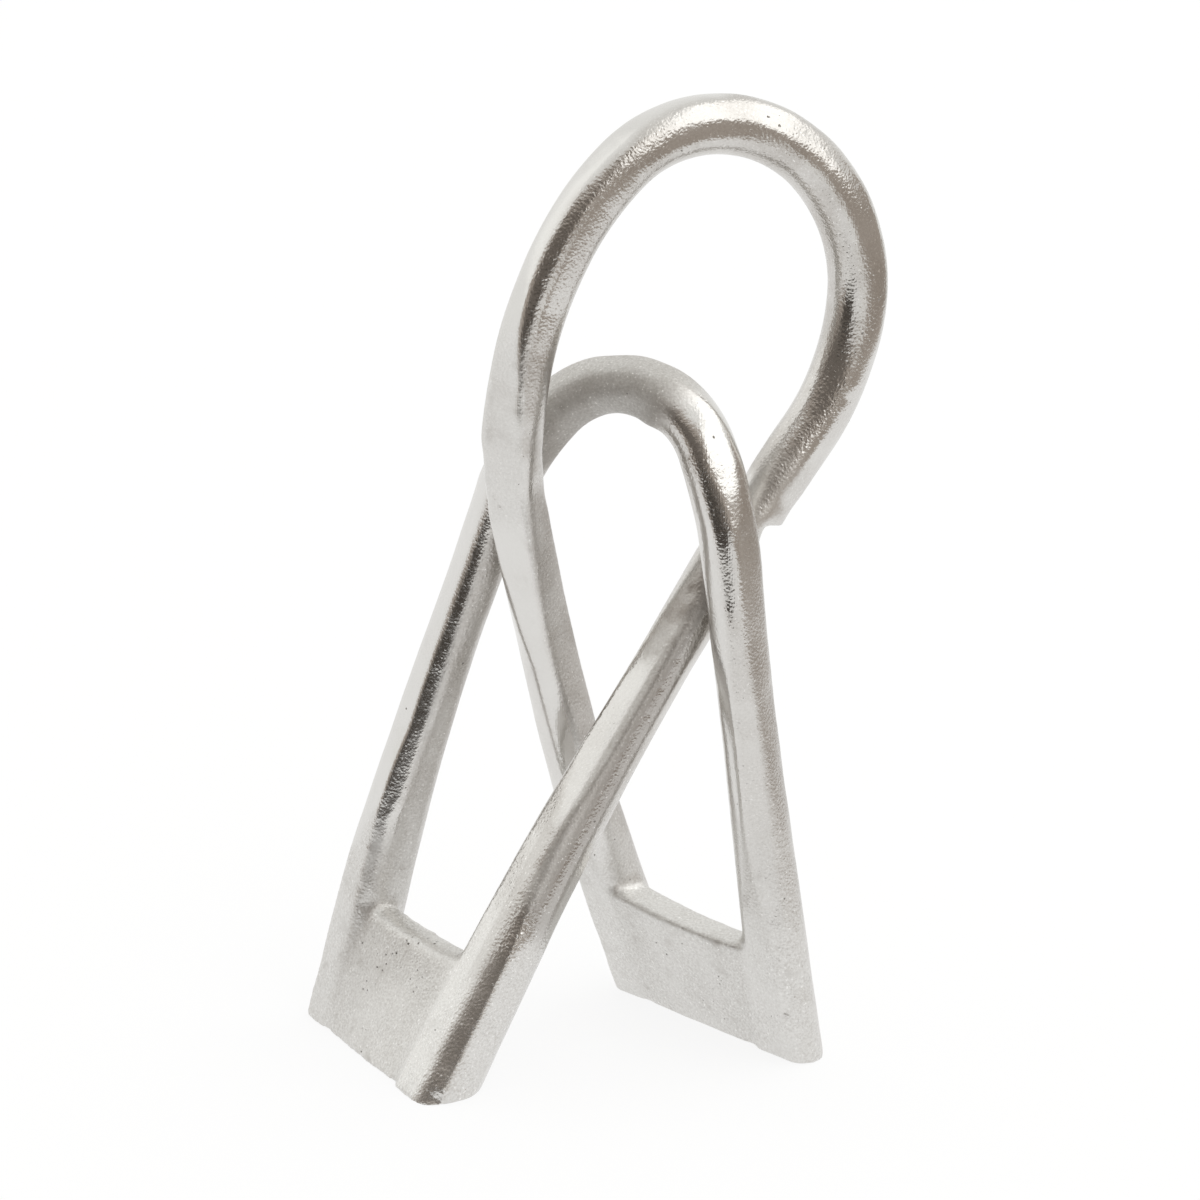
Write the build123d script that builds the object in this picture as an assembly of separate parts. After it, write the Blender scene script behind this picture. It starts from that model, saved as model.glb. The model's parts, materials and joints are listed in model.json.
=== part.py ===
from build123d import *
from math import cos, radians, sin, sqrt, tan
import os

# Knot sculpture: one strand of round bar tied in a trefoil, standing on two webbed feet.
# The strand is cast in five lengths. The two legs of each foot are joined by a web plate, and the
# lengths are butt welded above the crossings. +Z is up, +X to the right, -Y to the front. Millimetres.

# Overall sizes. Stations of the strand are shares of the width to the right, of the depth to the
# back and of the height, from a point on the floor near the middle
WIDTH = 180
DEPTH = 100
HEIGHT = 300.5
BAR_DIAMETER = 18.5

# Crossings: the two bars pass this far apart, either side of the crossing's middle
CROSSING_GAP = 0.8
LEFT_CROSSING = (-0.133, 0.05, 0.586)
LEFT_CROSSING_TURN = 12      # degrees, way from the rear bar to the front bar, 0 is straight forward
LEFT_CROSSING_RISE = -1
RIGHT_CROSSING = (0.228, -0.06, 0.526)
RIGHT_CROSSING_TURN = 8
RIGHT_CROSSING_RISE = 17

# Lean of each limb where it passes its crossing: degrees to the right and to the back
LEFT_REAR_LEAN = (21, -2)
RIGHT_REAR_LEAN = (-8, -14)
RIGHT_FRONT_LEAN = (-6, 0)
LEFT_FRONT_LEAN = (32.5, 14.5)

# Small arch
ARCH_CROWN = (0.0695, 0.04, 0.707)
ARCH_TURN = -25              # degrees in plan, heading at the crown

# Large loop; its top station is under the full height
LOOP_RIGHT = (0.446, 0.225, 0.7805)
LOOP_RIGHT_LEAN = (3.5, 0)
LOOP_TOP = (0.186, 0.09)
LOOP_TURN = 22
LOOP_FLANK = (-0.0445, -0.08, 0.86)
LOOP_FLANK_LEAN = (27, 8)

# Legs: place on the floor, waist diameter, and the floor section's length along the foot
# and reach from the leg's axis to the inner side
LEFT_REAR_FLOOR = (-0.4155, 0.175)
LEFT_REAR_WAIST = 17.8
LEFT_REAR_LENGTH = 20
LEFT_REAR_REACH = 9.5
LEFT_FRONT_FLOOR = (-0.2595, -0.385)
LEFT_FRONT_WAIST = 19
LEFT_FRONT_LENGTH = 25
LEFT_FRONT_REACH = 11.5
RIGHT_REAR_FLOOR = (0.1165, 0.385)
RIGHT_REAR_WAIST = 18.6
RIGHT_REAR_LENGTH = 19
RIGHT_REAR_REACH = 9.2
RIGHT_FRONT_FLOOR = (0.3415, -0.115)
RIGHT_FRONT_WAIST = 18
RIGHT_FRONT_LENGTH = 24
RIGHT_FRONT_REACH = 9
WAIST_PLACE = 0.4            # share of a leg's length, from its crossing down to the floor
FOOT_TAIL = 14               # leg made this much too long and then ground off at the floor
FLAT_DEPTH = 1.8             # dressed off the outer side of a leg at the floor to make its flat
FLAT_HEIGHT = 80             # where the flat runs out into the leg

# Feet: the outer faces of a foot's legs and web start from one line on the floor, turned in plan
LEFT_FACE_TURN = 30.5
LEFT_FACE_OFFSET = 14.6      # outside the rear leg's axis, at the floor
RIGHT_FACE_TURN = 45
RIGHT_FACE_OFFSET = 12.1
FRONT_LEG_STEP = 1.2         # front legs stand this far out of the face

# Web plates
LEFT_WEB_REAR_THICKNESS = 17
LEFT_WEB_REAR_HEIGHT = 44
LEFT_WEB_FRONT_THICKNESS = 13
LEFT_WEB_FRONT_HEIGHT = 38
RIGHT_WEB_REAR_THICKNESS = 19
RIGHT_WEB_REAR_HEIGHT = 44
RIGHT_WEB_FRONT_THICKNESS = 14
RIGHT_WEB_FRONT_HEIGHT = 36
WEB_DRAFT = 4                # degrees, inner face drawn in as it rises
WEB_DIP = 2.5                # hollow of the top edge between the legs

# Welds
SEAM_WIDTH = 3               # weld between a web's edge and its leg
SEAM_RECESS = 0.5            # seam below the web's faces
GROOVE_DEPTH = 6
GROOVE_WIDTH = 7
BEAD_CROWN = 0.3
LOOP_START_RISE = 18         # butt joints above the crossings, along the bar
LOOP_END_RISE = 11


def station(right, back, up=0):
    """Point at shares of the overall sizes."""
    return Vector(right * WIDTH, back * DEPTH, up * HEIGHT)


def lean_direction(lean):
    """Direction up along a limb that leans right and back by the given degrees."""
    right, back = lean
    return Vector(tan(radians(right)), tan(radians(back)), 1).normalized()


def plan_direction(turn):
    """Level direction to the right, turned in plan."""
    return Vector(cos(radians(turn)), sin(radians(turn)), 0)


def forward_direction(turn, rise):
    """Direction to the front, turned to the right in plan and raised."""
    level = Vector(sin(radians(turn)), -cos(radians(turn)), 0)
    return level * cos(radians(rise)) + Vector(0, 0, sin(radians(rise)))


def biarc(start, start_direction, end, end_direction):
    """Two tangent arcs that join two stations of the strand."""
    way = end - start
    along = way.dot(start_direction + end_direction)
    bend = 2 * (1 - start_direction.dot(end_direction))
    reach = (sqrt(along**2 + bend * way.dot(way)) - along) / bend
    middle = (start + end + (start_direction - end_direction) * reach) * 0.5
    first = Edge.make_tangent_arc(start, start_direction, middle)
    second = Edge.make_tangent_arc(middle, first % 1, end)
    return [first, second]


def bar(edges):
    """Round bar of full diameter along tangent edges."""
    path = Wire(edges)
    section = Plane(origin=path @ 0, z_dir=path % 0) * Circle(BAR_DIAMETER / 2)
    return sweep(section, path=path)


class Foot:
    """Outer face of a foot, as a line on the floor with the way along it and out of it."""

    def __init__(self, rear_floor, turn, offset):
        self.along = forward_direction(turn, 0)
        self.outward = Vector(self.along.Y, -self.along.X, 0)
        self.face = rear_floor.dot(self.outward) + offset

    def face_distance(self, point):
        """Distance from a floor point out to the face."""
        return self.face - point.dot(self.outward)


class Leg:
    """Tapered leg on a tangent arc from its crossing down to the floor, with a flat on its outer side."""

    def __init__(self, crossing, lean, floor, waist, length, reach, foot, step=0):
        self.axis = Edge.make_tangent_arc(crossing, lean_direction(lean) * -1, floor)
        self.up = self.axis % 1 * -1
        self.lean = self.up.dot(foot.outward) / self.up.Z
        self.floor = floor
        self.foot = foot
        self.flat = foot.face_distance(floor) + step
        self.waist = waist
        self.length = length
        self.reach = reach
        self.outer = self.flat + FLAT_DEPTH
        self.flat_lean = self.lean_to_run_out(1 - FLAT_HEIGHT / crossing.Z)
        self.body = self.solid(0)
        self.cope = self.solid(SEAM_WIDTH)

    def lean_to_run_out(self, place):
        """Outward lean of the flat that meets the tapered side at a place on the axis."""
        taper = (1 - place) / (1 - WAIST_PLACE)
        side = self.outer + (self.waist / 2 - self.outer) * taper
        rise = self.axis @ place - self.floor
        return (rise.dot(self.foot.outward) + side - self.flat) / rise.Z

    def section_at(self, origin, direction, along, across):
        side = direction.cross(self.foot.along)
        plane = Plane(origin=origin, x_dir=side.cross(direction), z_dir=direction)
        return plane * Ellipse(along / 2, across / 2)

    def solid(self, growth):
        """The leg, grown all round where a cope is needed."""
        heel = self.floor + self.foot.outward * ((self.outer - self.reach) / 2)
        across = self.outer + self.reach
        stations = [
            (self.axis @ 0, self.axis % 0, BAR_DIAMETER, BAR_DIAMETER),
            (self.axis @ WAIST_PLACE, self.axis % WAIST_PLACE, self.waist, self.waist),
            (heel, self.axis % 1, self.length, across),
            (heel - self.up * FOOT_TAIL, self.axis % 1, self.length, across),
        ]
        sections = [self.section_at(o, d, a + growth * 2, c + growth * 2) for o, d, a, c in stations]
        body = split(loft(sections), bisect_by=Plane.XY, keep=Keep.TOP)
        return body - self.outside_of_flat(growth)

    def outside_of_flat(self, growth):
        """Block that takes the outer side of the leg off along its flat."""
        origin = self.face_point(self.flat + growth, self.flat_lean, 0)
        outward = self.foot.along.cross(self.foot.outward * self.flat_lean + Vector(0, 0, 1))
        length = self.axis.length * 2
        block = Box(length, length, BAR_DIAMETER, align=(Align.CENTER, Align.CENTER, Align.MIN))
        return Plane(origin=origin, x_dir=self.foot.along, z_dir=outward) * block

    def face_point(self, distance, lean, height):
        """Point at a height on a face that leans outward from a distance outside the axis at the floor."""
        return self.floor + self.foot.outward * (distance + lean * height) + Vector(0, 0, height)


class Web:
    """Plate between the two legs of a foot, with the seams at its ends."""

    def __init__(self, rear_leg, front_leg, rear_size, front_size):
        self.ends = [(rear_leg, *rear_size), (front_leg, *front_size)]

    def corners(self, leg, thickness, height, inset):
        """Corners of the plate's section at a leg: floor inside and outside, top outside and inside."""
        outer = leg.foot.face_distance(leg.floor) - inset
        inner = leg.foot.face_distance(leg.floor) - thickness + inset
        inner_lean = leg.lean + tan(radians(WEB_DRAFT))
        top = height - inset
        return [
            leg.face_point(inner, inner_lean, 0),
            leg.face_point(outer, leg.flat_lean, 0),
            leg.face_point(outer, leg.flat_lean, top),
            leg.face_point(inner, inner_lean, top),
        ]

    def solid(self, inset=0):
        """The plate from leg axis to leg axis, thinned by an inset on its faces and top."""
        rear, front = [self.corners(*end, inset) for end in self.ends]
        middle = [(a + b) * 0.5 for a, b in zip(rear, front)]
        dip = Vector(0, 0, WEB_DIP)
        middle = middle[:2] + [corner - dip for corner in middle[2:]]
        return loft([Face(Wire.make_polygon(corners)) for corners in (rear, middle, front)])

    def plate(self):
        """Plate coped clear of both legs by the width of a seam."""
        rear_leg, front_leg = self.ends[0][0], self.ends[1][0]
        return self.solid() - rear_leg.cope - front_leg.cope

    def seam(self, end):
        """Weld between the plate's edge and one leg."""
        leg = self.ends[end][0]
        return (self.solid(SEAM_RECESS) & leg.cope) - leg.body


def groove_section(outer_radius):
    """Half of the V groove of a butt weld, as radius and place along the bar."""
    radius = BAR_DIAMETER / 2
    flare = GROOVE_WIDTH / 2 * (outer_radius - radius + GROOVE_DEPTH) / GROOVE_DEPTH
    return (radius - GROOVE_DEPTH, 0), (outer_radius, flare), (outer_radius, -flare)


def groove(joint):
    """V groove round the bar at a butt joint."""
    root, upper, lower = groove_section(BAR_DIAMETER / 2 + GROOVE_DEPTH / 2)
    face = make_face(Plane.XZ * Polyline(root, upper, lower, close=True))
    return joint * revolve(face, axis=Axis.Z)


def bead(joint):
    """Weld that fills the groove, with a low crown."""
    root, upper, lower = groove_section(BAR_DIAMETER / 2)
    crown = (BAR_DIAMETER / 2 + BEAD_CROWN, 0)
    outline = Polyline(lower, root, upper) + ThreePointArc(upper, crown, lower)
    return joint * revolve(make_face(Plane.XZ * outline), axis=Axis.Z)


def joint_plane(edge, place):
    return Plane(origin=edge @ place, z_dir=edge % place)


# Where the strand's limbs pass each other
pass_distance = (BAR_DIAMETER + CROSSING_GAP) / 2
left_way = forward_direction(LEFT_CROSSING_TURN, LEFT_CROSSING_RISE) * pass_distance
right_way = forward_direction(RIGHT_CROSSING_TURN, RIGHT_CROSSING_RISE) * pass_distance
left_rear_pass = station(*LEFT_CROSSING) - left_way
right_rear_pass = station(*LEFT_CROSSING) + left_way
right_front_pass = station(*RIGHT_CROSSING) + right_way
left_front_pass = station(*RIGHT_CROSSING) - right_way

# Feet and legs
left_foot = Foot(station(*LEFT_REAR_FLOOR), LEFT_FACE_TURN, LEFT_FACE_OFFSET)
right_foot = Foot(station(*RIGHT_REAR_FLOOR), RIGHT_FACE_TURN, RIGHT_FACE_OFFSET)
left_rear = Leg(
    left_rear_pass, LEFT_REAR_LEAN, station(*LEFT_REAR_FLOOR),
    LEFT_REAR_WAIST, LEFT_REAR_LENGTH, LEFT_REAR_REACH, left_foot,
)
left_front = Leg(
    left_front_pass, LEFT_FRONT_LEAN, station(*LEFT_FRONT_FLOOR),
    LEFT_FRONT_WAIST, LEFT_FRONT_LENGTH, LEFT_FRONT_REACH, left_foot, FRONT_LEG_STEP,
)
right_rear = Leg(
    right_rear_pass, RIGHT_REAR_LEAN, station(*RIGHT_REAR_FLOOR),
    RIGHT_REAR_WAIST, RIGHT_REAR_LENGTH, RIGHT_REAR_REACH, right_foot,
)
right_front = Leg(
    right_front_pass, RIGHT_FRONT_LEAN, station(*RIGHT_FRONT_FLOOR),
    RIGHT_FRONT_WAIST, RIGHT_FRONT_LENGTH, RIGHT_FRONT_REACH, right_foot, FRONT_LEG_STEP,
)

# Small arch, from the left rear leg over the crown to the right front leg
crown = station(*ARCH_CROWN)
crown_way = plan_direction(ARCH_TURN)
left_haunch = biarc(left_rear_pass, lean_direction(LEFT_REAR_LEAN), crown, crown_way)
right_haunch = biarc(crown, crown_way, right_front_pass, lean_direction(RIGHT_FRONT_LEAN) * -1)

# Large loop, from the left front leg round to the right rear leg
loop_right = station(*LOOP_RIGHT)
loop_right_way = lean_direction(LOOP_RIGHT_LEAN)
loop_top = station(*LOOP_TOP) + Vector(0, 0, HEIGHT - BAR_DIAMETER / 2)
loop_top_way = plan_direction(LOOP_TURN) * -1
loop_flank = station(*LOOP_FLANK)
loop_flank_way = lean_direction(LOOP_FLANK_LEAN) * -1
loop_rise = biarc(left_front_pass, lean_direction(LEFT_FRONT_LEAN), loop_right, loop_right_way)
loop_shoulder = biarc(loop_right, loop_right_way, loop_top, loop_top_way)
loop_fall = biarc(loop_top, loop_top_way, loop_flank, loop_flank_way)
loop_descent = biarc(loop_flank, loop_flank_way, right_rear_pass, lean_direction(RIGHT_REAR_LEAN) * -1)
start_cut = LOOP_START_RISE / loop_rise[0].length
end_cut = 1 - LOOP_END_RISE / loop_descent[1].length
loop_start_stub = loop_rise[0].trim(0, start_cut)
loop_end_stub = loop_descent[1].trim(end_cut, 1)
loop_path = [
    loop_rise[0].trim(start_cut, 1),
    loop_rise[1],
    *loop_shoulder,
    *loop_fall,
    loop_descent[0],
    loop_descent[1].trim(0, end_cut),
]

# Butt joints
arch_joint = joint_plane(right_haunch[0], 0)
loop_start_joint = joint_plane(loop_start_stub, 1)
loop_end_joint = joint_plane(loop_end_stub, 0)

# Webs
left_web = Web(
    left_rear, left_front,
    (LEFT_WEB_REAR_THICKNESS, LEFT_WEB_REAR_HEIGHT), (LEFT_WEB_FRONT_THICKNESS, LEFT_WEB_FRONT_HEIGHT),
)
right_web = Web(
    right_rear, right_front,
    (RIGHT_WEB_REAR_THICKNESS, RIGHT_WEB_REAR_HEIGHT), (RIGHT_WEB_FRONT_THICKNESS, RIGHT_WEB_FRONT_HEIGHT),
)

nodes = {
    "left_rear_leg": left_rear.body + bar(left_haunch) - groove(arch_joint),
    "arch_leg": right_front.body + bar(right_haunch) - groove(arch_joint),
    "left_front_leg": left_front.body + bar([loop_start_stub]) - groove(loop_start_joint),
    "right_rear_leg": right_rear.body + bar([loop_end_stub]) - groove(loop_end_joint),
    "large_loop": bar(loop_path) - groove(loop_start_joint) - groove(loop_end_joint),
    "left_web_plate": left_web.plate(),
    "right_web_plate": right_web.plate(),
    "arch_butt_weld": bead(arch_joint),
    "loop_start_butt_weld": bead(loop_start_joint),
    "loop_end_butt_weld": bead(loop_end_joint),
    "left_web_rear_seam": left_web.seam(0),
    "left_web_front_seam": left_web.seam(1),
    "right_web_rear_seam": right_web.seam(0),
    "right_web_front_seam": right_web.seam(1),
}

# The origin is on the floor under the middle of the whole piece
boxes = [shape.bounding_box() for shape in nodes.values()]
middle_x = (min(box.min.X for box in boxes) + max(box.max.X for box in boxes)) / 2
middle_y = (min(box.min.Y for box in boxes) + max(box.max.Y for box in boxes)) / 2
to_origin = Pos(-middle_x, -middle_y, 0)
os.makedirs("parts", exist_ok=True)
for name, shape in nodes.items():
    export_step(to_origin * shape, f"parts/{name}.step")
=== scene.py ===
import json
import math
from collections import namedtuple

import bmesh
import bpy
import numpy as np
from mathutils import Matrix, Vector, kdtree

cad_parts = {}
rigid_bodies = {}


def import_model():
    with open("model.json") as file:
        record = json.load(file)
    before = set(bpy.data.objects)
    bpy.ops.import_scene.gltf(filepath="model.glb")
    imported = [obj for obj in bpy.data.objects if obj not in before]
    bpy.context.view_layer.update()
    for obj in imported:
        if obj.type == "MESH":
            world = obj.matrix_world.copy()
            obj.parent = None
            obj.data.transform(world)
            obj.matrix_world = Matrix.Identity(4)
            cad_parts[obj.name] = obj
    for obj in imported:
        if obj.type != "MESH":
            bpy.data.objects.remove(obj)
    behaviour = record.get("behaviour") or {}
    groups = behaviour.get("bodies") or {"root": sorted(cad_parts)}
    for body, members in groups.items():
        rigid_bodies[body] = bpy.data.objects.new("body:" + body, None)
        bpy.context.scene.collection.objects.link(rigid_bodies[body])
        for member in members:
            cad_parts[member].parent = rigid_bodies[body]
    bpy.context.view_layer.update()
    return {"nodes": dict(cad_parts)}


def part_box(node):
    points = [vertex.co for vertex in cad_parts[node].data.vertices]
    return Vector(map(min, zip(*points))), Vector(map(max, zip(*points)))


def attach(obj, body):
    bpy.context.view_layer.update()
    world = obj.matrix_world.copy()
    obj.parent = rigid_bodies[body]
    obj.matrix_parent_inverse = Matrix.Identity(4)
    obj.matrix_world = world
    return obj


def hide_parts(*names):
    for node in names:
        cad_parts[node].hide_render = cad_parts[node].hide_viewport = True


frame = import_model()

# Sizes with MM are in metres. Stations, seams, welds, flats, zones, waves and lumps are in millimetres
MM = 0.001
BAR_RADIUS = 9.25 * MM
SKIN_VOXEL = 0.75 * MM
AXIS_STEP = 1.0 * MM

# Stations of the bar's centre line
LEFT_REAR_FLOOR = Vector((-74.52, 19.6, 0))
LEFT_REAR_PASS = Vector((-25.68, 16.54, 176.26))
ARCH_CROWN = Vector((12.78, 6.10, 212.45))
RIGHT_FRONT_PASS = Vector((42.59, -13.04, 160.88))
RIGHT_FRONT_FLOOR = Vector((61.74, -9.40, 0))
LEFT_FRONT_FLOOR = Vector((-46.44, -36.40, 0))
LEFT_FRONT_PASS = Vector((40.02, 5.24, 155.24))
LOOP_RIGHT = Vector((80.55, 24.60, 234.54))
LOOP_TOP = Vector((33.75, 11.10, 291.25))
LOOP_FLANK = Vector((-7.74, -5.90, 258.43))
RIGHT_REAR_PASS = Vector((-21.67, -2.34, 175.93))
RIGHT_REAR_FLOOR = Vector((21.24, 40.60, 0))

# Crossings of the two strands, with the side to which the loop's bar passes
CROSSINGS = (
    ((LEFT_REAR_PASS + RIGHT_REAR_PASS) / 2, -1),
    ((LEFT_FRONT_PASS + RIGHT_FRONT_PASS) / 2, 1),
)
CROSSING_REACH = 40 * MM
CROSSING_SPREAD = 1.6 * MM
LOOP_NODES = (
    "left_front_leg", "loop_start_butt_weld", "large_loop", "loop_end_butt_weld", "right_rear_leg",
)

# Pieces and their finishes
PIECES = {
    "left_rear_leg": "cast_bar",
    "arch_leg": "cast_bar",
    "left_front_leg": "cast_bar",
    "right_rear_leg": "cast_bar",
    "large_loop": "cast_bar",
    "left_web_plate": "web_plate",
    "right_web_plate": "web_plate",
    "arch_butt_weld": "weld_metal",
    "loop_start_butt_weld": "weld_metal",
    "loop_end_butt_weld": "weld_metal",
    "left_web_rear_seam": "weld_metal",
    "left_web_front_seam": "weld_metal",
    "right_web_rear_seam": "weld_metal",
    "right_web_front_seam": "weld_metal",
}
BOXES = {solid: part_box(solid) for solid in PIECES}

# Seams of the webs: floor point of the leg, the way up it, the way out of the foot's face,
# the side of the leg and how far from its centre line the seam starts
Seam = namedtuple("Seam", "floor up outward side offset")
LEFT_OUTWARD = Vector((-0.8616, -0.5075, 0))
RIGHT_OUTWARD = Vector((-0.7071, -0.7071, 0))
SEAMS = {
    "left_web_rear_seam": Seam(LEFT_REAR_FLOOR, Vector((0.173, -0.001, 0.985)), LEFT_OUTWARD, 1, 11.2),
    "left_web_front_seam": Seam(LEFT_FRONT_FLOOR, Vector((0.421, 0.242, 0.874)), LEFT_OUTWARD, -1, 13.2),
    "right_web_rear_seam": Seam(RIGHT_REAR_FLOOR, Vector((-0.324, -0.22, 0.92)), RIGHT_OUTWARD, 1, 12.0),
    "right_web_front_seam": Seam(RIGHT_FRONT_FLOOR, Vector((-0.132, -0.045, 0.99)), RIGHT_OUTWARD, -1, 12.8),
}
SEAM_WIDTH = 3

# Butt welds, with the way the bar runs there
BUTT_WELDS = {
    "arch_butt_weld": Vector((0.906, -0.423, 0)).normalized(),
    "loop_start_butt_weld": Vector((0.541, 0.248, 0.804)).normalized(),
    "loop_end_butt_weld": Vector((0.058, 0.186, -0.981)).normalized(),
}
BUTT_WIDTH = 7

# Reach of the places that are worked on: first where it ends, then where it is full
WELD_REACH = (16 * MM, 12 * MM)
FILLET_REACH = (10 * MM, 5 * MM)
FILLET_TOP = (72 * MM, 56 * MM)
FOOT_SIDE = (34 * MM, 26 * MM)
WEB_START = (11 * MM, 13.5 * MM)
WEB_TOP = (60 * MM, 54 * MM)
WEB_SOLE = (8 * MM, 14 * MM)
PLANED = (0.03 * MM, 0.3 * MM)

# Smoothing: how far a point is pulled to its neighbours, how far it is pushed back, and rounds of it
PULL = 0.5
PUSH_BACK = -0.53
SKIN_ROUNDS = 12
WELD_ROUNDS = 60
FILLET_ROUNDS = 120
FILLET_PASS = 10
FILLET_FINISH = 6
EDGE_ROUNDS = 24
FLAT_ROUNDS = 6
MASK_ROUNDS = 8

# Cutting at welds and seams
CUT_BAND = 1.5 * MM
CUT_SNAP = 1e-7
BUTT_REACH = 10.9 * MM
SEAM_TOP = 56 * MM
SEAM_SIDE = 26 * MM

# Strands. Lengths along them start at the left rear foot and at the left front foot
ARCH = 0
LOOP = 1

# Turns round the bar are in degrees. Turn 0 faces the front. More is to the inside of the small arch,
# to the right of the left front leg and to the outside of the large loop
FRONT = np.array((0, -0.94, 0.34))
ALL_ROUND = (-200, 200)

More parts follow.
